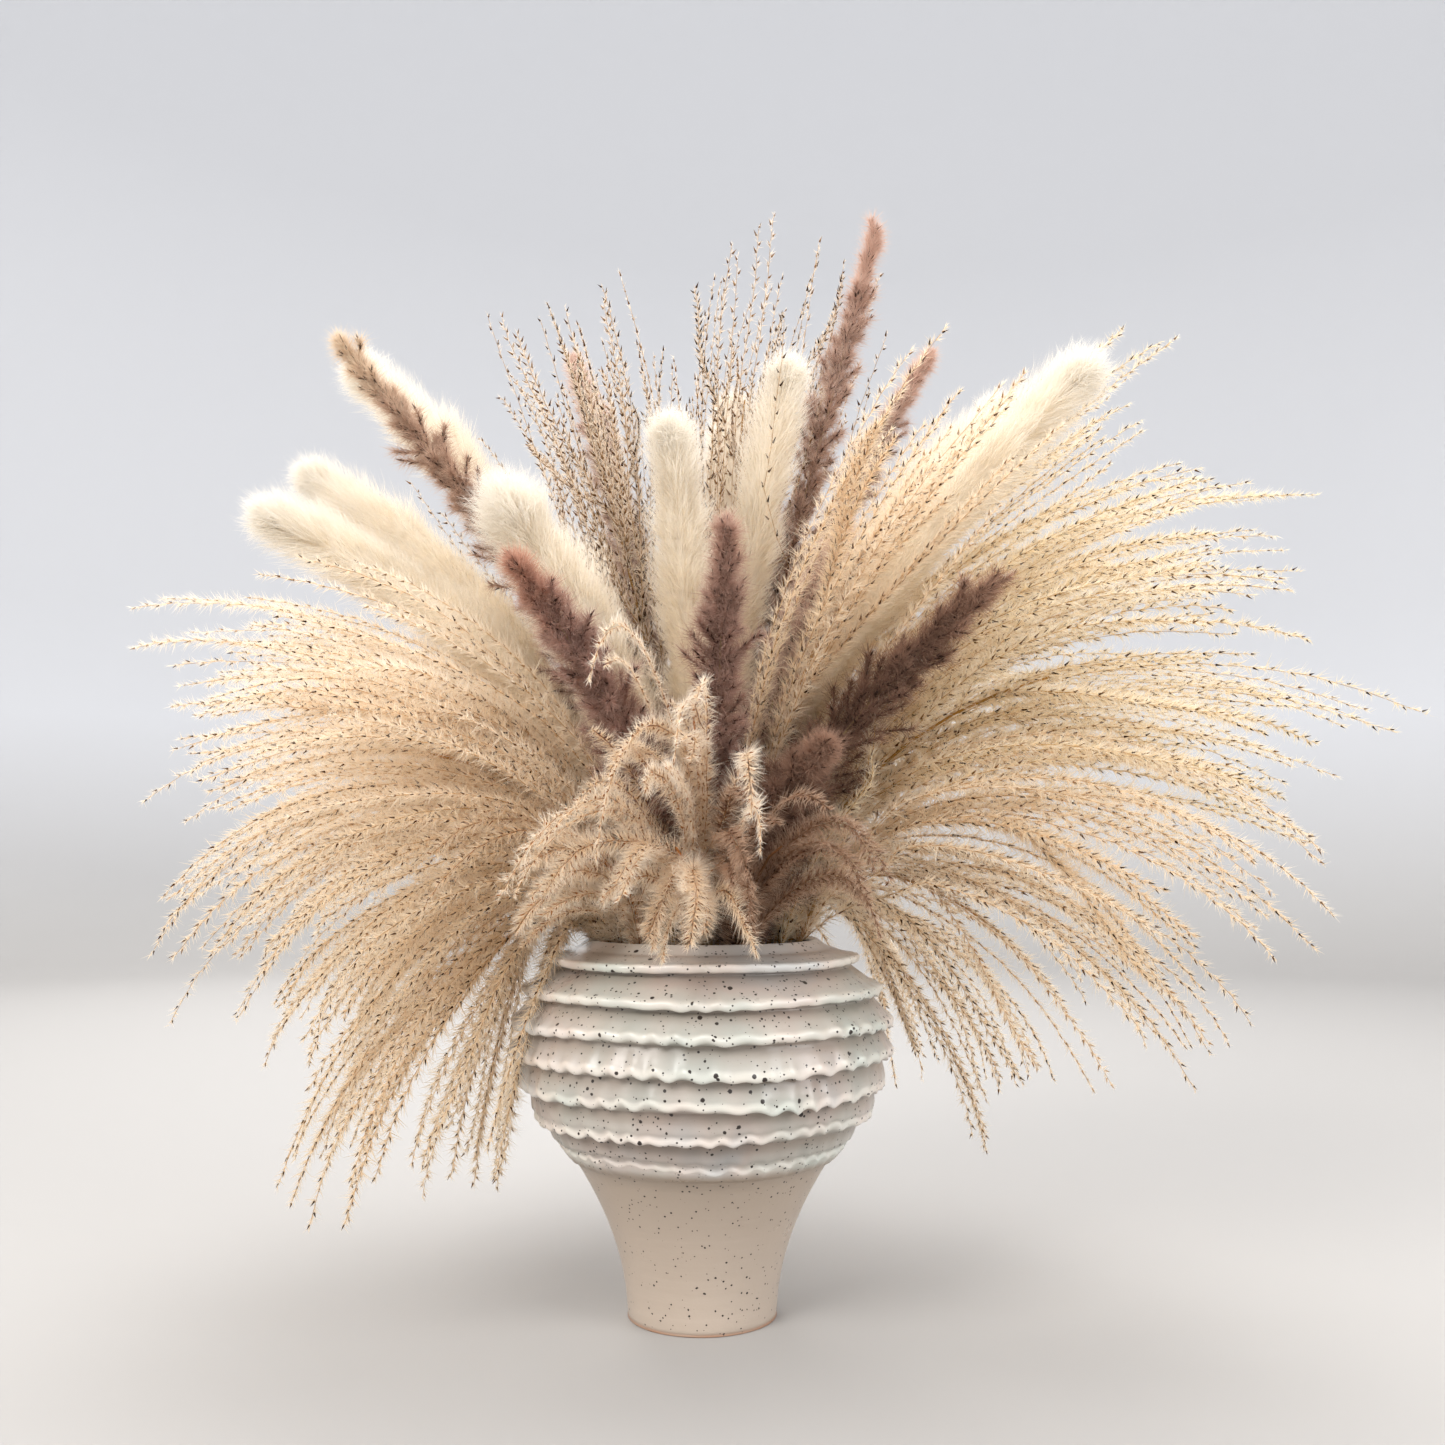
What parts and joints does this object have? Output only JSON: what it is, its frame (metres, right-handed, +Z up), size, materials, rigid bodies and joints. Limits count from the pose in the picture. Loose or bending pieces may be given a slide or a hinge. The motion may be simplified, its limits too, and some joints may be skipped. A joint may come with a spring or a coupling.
{
  "type": "dried grass bouquet in vase",
  "caption": "Loose spray of dried white and brown pampas plumes and arching reed grass standing in a ribbed, speckled stoneware vase.",
  "frame": {"origin": "middle of the flat underside of the vase's foot, where it stands", "axes": "+Z up along the vase, -Y towards the front of the bouquet, +X to its right"},
  "size_m": [0.7107, 0.4807, 0.667],
  "materials": {
    "speckled_glaze": "satin",
    "white_plume": "matte",
    "brown_plume": "matte",
    "reed_grass": "matte"
  },
  "bodies": {
    "root": {"vase": "speckled_glaze", "white_plume_01": "white_plume", "white_plume_02": "white_plume", "white_plume_03": "white_plume", "white_plume_04": "white_plume", "white_plume_05": "white_plume", "white_plume_06": "white_plume", "white_plume_07": "white_plume", "white_plume_08": "white_plume", "white_plume_09": "white_plume", "white_plume_10": "white_plume", "white_plume_11": "white_plume", "brown_plume_01": "brown_plume", "brown_plume_02": "brown_plume", "brown_plume_03": "brown_plume", "brown_plume_04": "brown_plume", "brown_plume_05": "brown_plume", "brown_plume_06": "brown_plume", "brown_plume_07": "brown_plume", "brown_plume_08": "brown_plume", "brown_plume_09": "brown_plume", "brown_plume_10": "brown_plume", "reed_head_01": "reed_grass", "reed_head_02": "reed_grass", "reed_head_03": "reed_grass", "reed_head_04": "reed_grass", "reed_head_05": "reed_grass", "reed_head_06": "reed_grass", "reed_head_07": "reed_grass", "reed_head_08": "reed_grass", "reed_head_09": "reed_grass", "reed_head_10": "reed_grass", "reed_head_11": "reed_grass", "reed_head_12": "reed_grass", "reed_head_13": "reed_grass", "reed_head_14": "reed_grass", "reed_head_15": "reed_grass", "reed_head_16": "reed_grass", "reed_head_17": "reed_grass", "reed_head_18": "reed_grass", "reed_head_19": "reed_grass", "reed_head_20": "reed_grass", "reed_head_21": "reed_grass", "reed_head_22": "reed_grass", "reed_head_23": "reed_grass", "reed_head_24": "reed_grass", "reed_head_25": "reed_grass", "reed_head_26": "reed_grass", "reed_head_27": "reed_grass", "reed_head_28": "reed_grass", "reed_head_29": "reed_grass", "reed_head_30": "reed_grass", "reed_head_31": "reed_grass", "reed_head_32": "reed_grass"}
  },
  "joints": []
}
